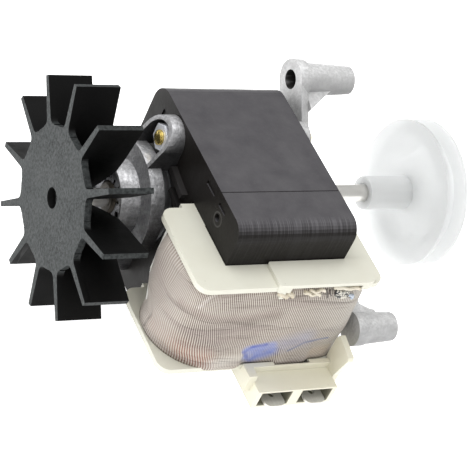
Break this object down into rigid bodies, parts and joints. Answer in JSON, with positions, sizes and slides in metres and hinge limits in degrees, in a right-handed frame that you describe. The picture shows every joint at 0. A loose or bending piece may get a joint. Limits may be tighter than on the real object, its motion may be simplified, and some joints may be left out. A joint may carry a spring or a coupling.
{
  "type": "dryer fan motor",
  "caption": "Shaded-pole motor with laminated frame, taped coil, die-cast brackets, black bladed impeller on one shaft end and a white grooved wheel on the other.",
  "frame": {"origin": "where the shaft line crosses the plane that the two mounting bosses bolt to", "axes": "+X along the shaft towards the grooved wheel, +Y away from the coil, +Z out of the frame's upper face"},
  "size_m": [0.1213, 0.0916, 0.0669],
  "materials": {
    "frame_paint": "semi-gloss black paint over stacked steel laminations",
    "copper": "bare and enamelled copper",
    "bobbin_plastic": "cream moulded polyester",
    "coil_tape": "woven glass cloth tape, varnished",
    "splice": "varnished sleeves over soldered leads",
    "block_plastic": "ivory moulded nylon",
    "tab_tin": "tinned brass sheet",
    "cast_alloy": "raw die-cast aluminium, grainy",
    "bronze": "oil-soaked sintered bronze",
    "spring_steel": "blued spring steel",
    "felt": "oiled wool felt",
    "yellow_zinc": "yellow passivated zinc plate",
    "zinc": "bright zinc plate",
    "ground_steel": "ground steel",
    "rotor_steel": "turned laminated steel",
    "cage_alloy": "cast aluminium",
    "washer_fibre": "hard fibre",
    "black_plastic": "charcoal moulded polypropylene, fine grain",
    "white_plastic": "natural translucent white moulded plastic"
  },
  "bodies": {
    "stator": {"stator_stack": "frame_paint", "coil_core_bar": "frame_paint", "shading_rings_upper": "copper", "shading_rings_lower": "copper", "bobbin": "bobbin_plastic", "coil_winding": "copper", "coil_tape": "coil_tape", "lead_splices": "splice", "terminal_block": "block_plastic", "spade_tab_1": "tab_tin", "spade_tab_2": "tab_tin", "impeller_bracket": "cast_alloy", "wheel_bracket": "cast_alloy", "impeller_bearing": "bronze", "wheel_bearing": "bronze", "impeller_bearing_clip": "spring_steel", "wheel_bearing_clip": "spring_steel", "impeller_oil_felt": "felt", "wheel_oil_felt": "felt", "clamp_screws": "yellow_zinc", "clamp_nuts": "zinc"},
    "rotor": {"shaft": "ground_steel", "rotor_core": "rotor_steel", "rotor_cage": "cage_alloy", "impeller_side_spacer": "ground_steel", "wheel_side_spacer": "ground_steel", "impeller_side_washer": "washer_fibre", "wheel_side_washer": "washer_fibre", "impeller": "black_plastic", "grooved_wheel": "white_plastic"}
  },
  "joints": [
    {"name": "shaft_spin", "type": "hinge", "parent": "stator", "child": "rotor", "pos_m": [0, 0, 0], "axis": [1, 0, 0], "continuous": true}
  ]
}
